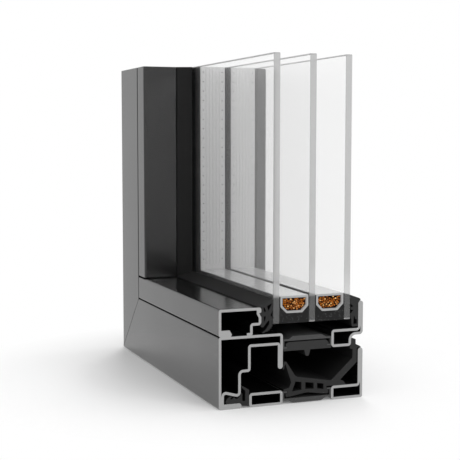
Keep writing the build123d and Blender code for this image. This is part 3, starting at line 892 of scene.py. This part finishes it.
def spacer_place(unit):
    """Middle X, width and top Z of a spacer's rail."""
    low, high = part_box("spacer_" + unit)
    sizes = bpy.context.scene.glass_unit_sizes
    return (low.x + high.x) / 2, high.x - low.x, low.z + sizes.spacer_height


class WINDOW_OT_paint_steel(bpy.types.Operator):
    """Paint the steel profiles and glazing beads"""

    bl_idname = "window.paint_steel"
    bl_label = "Steel Profiles"

    def execute(self, context):
        dress_profiles(STEEL_NODES, painted_steel(context.scene.section_finish))
        return {"FINISHED"}


class WINDOW_OT_fit_gaskets(bpy.types.Operator):
    """Give the gaskets their rubber"""

    bl_idname = "window.fit_gaskets"
    bl_label = "Gaskets"

    def execute(self, context):
        dress_profiles(GASKET_NODES, rubber(context.scene.section_finish))
        return {"FINISHED"}


class WINDOW_OT_fit_bars(bpy.types.Operator):
    """Give the insulating bars and the insert their plastic"""

    bl_idname = "window.fit_bars"
    bl_label = "Insulating Bars"

    def execute(self, context):
        finish = context.scene.section_finish
        dress_profiles(BAR_NODES, fibre_plastic("Insulating bar", finish.bar))
        dress_profiles(("sash_bar_insert",), fibre_plastic("Bar insert", finish.insert))
        return {"FINISHED"}


class WINDOW_OT_glaze(bpy.types.Operator):
    """Set the three panes, with clear faces and ground edges"""

    bl_idname = "window.glaze"
    bl_label = "Panes"

    def execute(self, context):
        finish = context.scene.section_finish
        sizes = context.scene.glass_unit_sizes
        glass = clear_glass(finish)
        edge = ground_edge(finish, bedded_below=spacer_place("inner")[2])
        relief = Vector((sizes.pane_relief, CUT_SKIN, CUT_SKIN))
        for place in PANES:
            node = "pane_" + place
            low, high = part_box(node)
            mesh = self.pane(node, low + relief, high - relief, sizes.arris)
            new_piece("glass_" + place, mesh, (glass, edge), node)
        return {"FINISHED"}

    @staticmethod
    def pane(name, low, high, arris):
        """Pane between two corners with its long edges taken off by the arris."""
        shape = bmesh.new()
        size = high - low
        place = Matrix.Translation((low + high) / 2) @ Matrix.Diagonal((*size, 1))
        bmesh.ops.create_cube(shape, size=1, matrix=place)
        bmesh.ops.bevel(shape, geom=shape.edges[:], offset=arris, segments=1, affect="EDGES")
        for face in shape.faces:
            broad = abs(face.normal.x) > 0.99
            face.material_index = 0 if broad else 1
        mesh = bpy.data.meshes.new(name + "_glass")
        shape.to_mesh(mesh)
        shape.free()
        return mesh


class WINDOW_OT_finish_spacers(bpy.types.Operator):
    """Rib and perforate the spacers between the panes"""

    bl_idname = "window.finish_spacers"
    bl_label = "Spacers"

    def execute(self, context):
        finish = context.scene.section_finish
        sizes = context.scene.glass_unit_sizes
        metal = spacer_metal("Spacer metal", tuple(finish.spacer), finish)
        # The ribs are a darker copy of the spacer metal, painted shade that draws them as lines.
        shaded_rib = spacer_metal("Spacer rib", scaled(finish.spacer, RIB_SHADE), finish)
        dark = perforation_shadow(finish)
        ribs = rib_tree()
        holes = perforation_tree()
        sunk = Matrix.Translation((0, 0, PLUG_RISE - PLUG_DEPTH / 2))
        for unit in UNITS:
            dress("spacer_" + unit, metal)
            middle, _, top = spacer_place(unit)
            length = UNIT_SUM - top - RAIL_CUT - CUT_SKIN
            faces = (rail_face(middle, top), jamb_face(middle, top))
            rib_meshes = [ribs.run(
                face, length=length, width=sizes.rib_spread, rib_width=sizes.rib_width,
                rib_height=sizes.rib_height, ribs=sizes.rib_count, material=shaded_rib)
                for face in faces]
            hole_meshes = [holes.run(
                face @ sunk, length=length, row_gap=sizes.hole_rows, pitch=sizes.hole_pitch,
                radius=sizes.hole_radius, depth=PLUG_DEPTH, material=dark)
                for face in faces]
            new_piece("spacer_ribs_" + unit, joined(rib_meshes), (shaded_rib,))
            new_piece("spacer_perforations_" + unit, joined(hole_meshes), (dark,))
        return {"FINISHED"}


class WINDOW_OT_fill_spacers(bpy.types.Operator):
    """Fill the spacers with drying beads that show at both cuts"""

    bl_idname = "window.fill_spacers"
    bl_label = "Drying Beads"

    def execute(self, context):
        finish = context.scene.section_finish
        sizes = context.scene.glass_unit_sizes
        amber = drying_beads(finish)
        packed = bead_shadow(finish)
        tree = bead_tree()
        # The tree's beads go down Z, and a spacer's run goes along Y.
        lean = Matrix(((1, 0, 0, 0), (0, 0, -1, 0), (0, 1, 0, 0), (0, 0, 0, 1)))
        sunk = Matrix.Translation((0, sizes.bead_size * MOUTH_RECESS, 0))
        wall = sizes.spacer_wall + BORE_CLEARANCE
        # A wall of even thickness takes this much off a chamfer at 45 degrees.
        chamfer = sizes.spacer_chamfer - wall * (2 - math.sqrt(2))
        bore_height = sizes.spacer_height - 2 * wall
        for number, unit in enumerate(UNITS):
            middle, width, top = spacer_place(unit)
            bore_width = width - 2 * wall
            left, right = middle - bore_width / 2, middle + bore_width / 2
            floor = top - sizes.spacer_height + wall
            ceiling = floor + bore_height
            outline = [
                (left + chamfer, floor), (right - chamfer, floor), (right, floor + chamfer),
                (right, ceiling), (left, ceiling), (left, floor + chamfer)]
            core = bent_run("bead_core_" + unit, outline, sizes.bead_size * CORE_RECESS)
            new_piece("bead_core_" + unit, core, (packed,), "desiccant_" + unit)
            bead_meshes = [tree.run(
                face(middle, floor) @ sunk @ lean, width=bore_width, height=bore_height,
                chamfer=chamfer, bead=sizes.bead_size, seed=17 + 10 * number + 4 * side,
                material=amber) for side, face in enumerate((rail_face, jamb_face))]
            new_piece("bead_fill_" + unit, joined(bead_meshes), (amber,))
        return {"FINISHED"}


class WINDOW_OT_seal_unit(bpy.types.Operator):
    """Give the seal round the glass unit its finish"""

    bl_idname = "window.seal_unit"
    bl_label = "Edge Sealant"

    def execute(self, context):
        material = edge_sealant(context.scene.section_finish)
        for unit in UNITS:
            dress("edge_sealant_" + unit, material)
        return {"FINISHED"}


class WINDOW_OT_set_stage(bpy.types.Operator):
    """Set the floor, the light and the camera"""

    bl_idname = "window.set_stage"
    bl_label = "Studio"

    def execute(self, context):
        studio = context.scene.studio_settings
        self.lay_floor(studio)
        self.light(context.scene, studio)
        self.set_camera(context.scene, studio)
        context.scene.view_settings.view_transform = "Standard"
        return {"FINISHED"}

    @staticmethod
    def seen_directly(nodes):
        """1 for rays from the camera, off a gloss or through glass."""
        path = nodes.add("ShaderNodeLightPath").outputs
        seen = nodes.maths("MAXIMUM", path["Is Camera Ray"], path["Is Glossy Ray"])
        return nodes.maths("MAXIMUM", seen, path["Is Transmission Ray"])

    def lay_floor(self, studio):
        """Pale floor that turns plain white away from the section."""
        reach = 6.0
        paper_tone = 0.85
        mesh = bpy.data.meshes.new("floor")
        corners = [(-reach, -reach, 0), (reach, -reach, 0), (reach, reach, 0), (-reach, reach, 0)]
        mesh.from_pydata(corners, [], [(0, 1, 2, 3)])
        material = bpy.data.materials.new("Floor")
        material.use_nodes = True
        nodes = NodeBuilder(material.node_tree)
        seen = self.seen_directly(nodes)
        paper = nodes.add("ShaderNodeBsdfDiffuse", {"Color": (paper_tone,) * 3})
        mirrored = nodes.add("ShaderNodeLightPath").outputs["Is Glossy Ray"]
        glow = nodes.add("ShaderNodeEmission", {"Strength": nodes.maths(
            "ADD", nodes.maths("MULTIPLY", seen, studio.floor_glow),
            nodes.maths("MULTIPLY", mirrored, studio.mirror_glow))})
        near = nodes.add("ShaderNodeAddShader", {0: paper.outputs[0], 1: glow.outputs[0]})
        place = nodes.add("ShaderNodeTexCoord").outputs["Object"]
        away = nodes.add("ShaderNodeVectorMath", {0: place}, operation="LENGTH").outputs["Value"]
        outer = nodes.between(away, studio.shadow_reach, 2 * studio.shadow_reach)
        white = nodes.add("ShaderNodeEmission", {"Strength": 1.0})
        floor_mix = nodes.add("ShaderNodeMixShader", {
            0: nodes.maths("MULTIPLY", seen, outer), 1: near.outputs[0], 2: white.outputs[0]})
        nodes.add("ShaderNodeOutputMaterial", {"Surface": floor_mix.outputs[0]})
        mesh.materials.append(material)
        floor = bpy.data.objects.new("floor", mesh)
        bpy.context.scene.collection.objects.link(floor)

    @staticmethod
    def soft_light(name, power, size, place, aim):
        """Area light at a place, turned to face a point."""
        data = bpy.data.lights.new(name, "AREA")
        data.shape = "RECTANGLE"
        data.size, data.size_y = size
        data.energy = power
        lamp = bpy.data.objects.new(name, data)
        bpy.context.scene.collection.objects.link(lamp)
        lamp.location = place
        lamp.rotation_euler = (aim - Vector(place)).to_track_quat("-Z", "Y").to_euler()
        lamp.visible_camera = False
        lamp.visible_glossy = False

    def light(self, scene, studio):
        """Three soft lights and an even pale world."""
        aim = (cad_bounds[0] + cad_bounds[1]) / 2
        self.soft_light(
            "Key", studio.key_power, size=(0.35, 0.9), place=(0.3, 0.8, 1.3), aim=aim)
        self.soft_light(
            "Side", studio.side_power, size=(0.9, 0.9), place=(0.95, -0.05, 1.4), aim=aim)
        self.soft_light(
            "Fill", studio.fill_power, size=(1.2, 1.2), place=(0.25, -1.4, 0.9), aim=aim)
        world = bpy.data.worlds.new("Studio")
        world.use_nodes = True
        nodes = NodeBuilder(world.node_tree)
        level = nodes.between(self.seen_directly(nodes), 0, 1, studio.sky_level, 1.0)
        sky = nodes.add("ShaderNodeBackground", {"Color": (1, 1, 1), "Strength": level})
        nodes.add("ShaderNodeOutputWorld", {"Surface": sky.outputs[0]})
        scene.world = world

    def set_camera(self, scene, studio):
        """Camera at the photo's view."""
        data = bpy.data.cameras.new("Camera")
        data.lens = studio.lens
        data.sensor_width = 36
        data.clip_start = 0.01
        data.clip_end = 50
        camera = bpy.data.objects.new("Camera", data)
        scene.collection.objects.link(camera)
        camera.location = studio.camera_place
        camera.rotation_euler = (math.pi / 2 - studio.camera_tilt, 0, -studio.camera_turn)
        scene.camera = camera


OPERATORS = (
    WINDOW_OT_paint_steel,
    WINDOW_OT_fit_gaskets,
    WINDOW_OT_fit_bars,
    WINDOW_OT_glaze,
    WINDOW_OT_finish_spacers,
    WINDOW_OT_fill_spacers,
    WINDOW_OT_seal_unit,
    WINDOW_OT_set_stage,
)


class WINDOW_PT_section(bpy.types.Panel):
    """Lists the steps that finish the window section"""

    bl_idname = "WINDOW_PT_section"
    bl_label = "Steel Window Section"
    bl_space_type = "VIEW_3D"
    bl_region_type = "UI"
    bl_category = "Window Section"

    def draw(self, context):
        for operator in OPERATORS:
            self.layout.operator(operator.bl_idname)


SETTINGS = {
    "section_finish": SectionFinish,
    "glass_unit_sizes": GlassUnitSizes,
    "studio_settings": StudioSettings,
}
CLASSES = (*SETTINGS.values(), *OPERATORS, WINDOW_PT_section)


def register():
    for item in CLASSES:
        bpy.utils.register_class(item)
    for name, group in SETTINGS.items():
        setattr(bpy.types.Scene, name, PointerProperty(type=group))


def unregister():
    for name in SETTINGS:
        delattr(bpy.types.Scene, name)
    for item in reversed(CLASSES):
        bpy.utils.unregister_class(item)


def main():
    """Registers the add-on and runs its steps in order."""
    register()
    for operator in OPERATORS:
        family, step = operator.bl_idname.split(".")
        getattr(getattr(bpy.ops, family), step)()


if __name__ == "__main__":
    main()
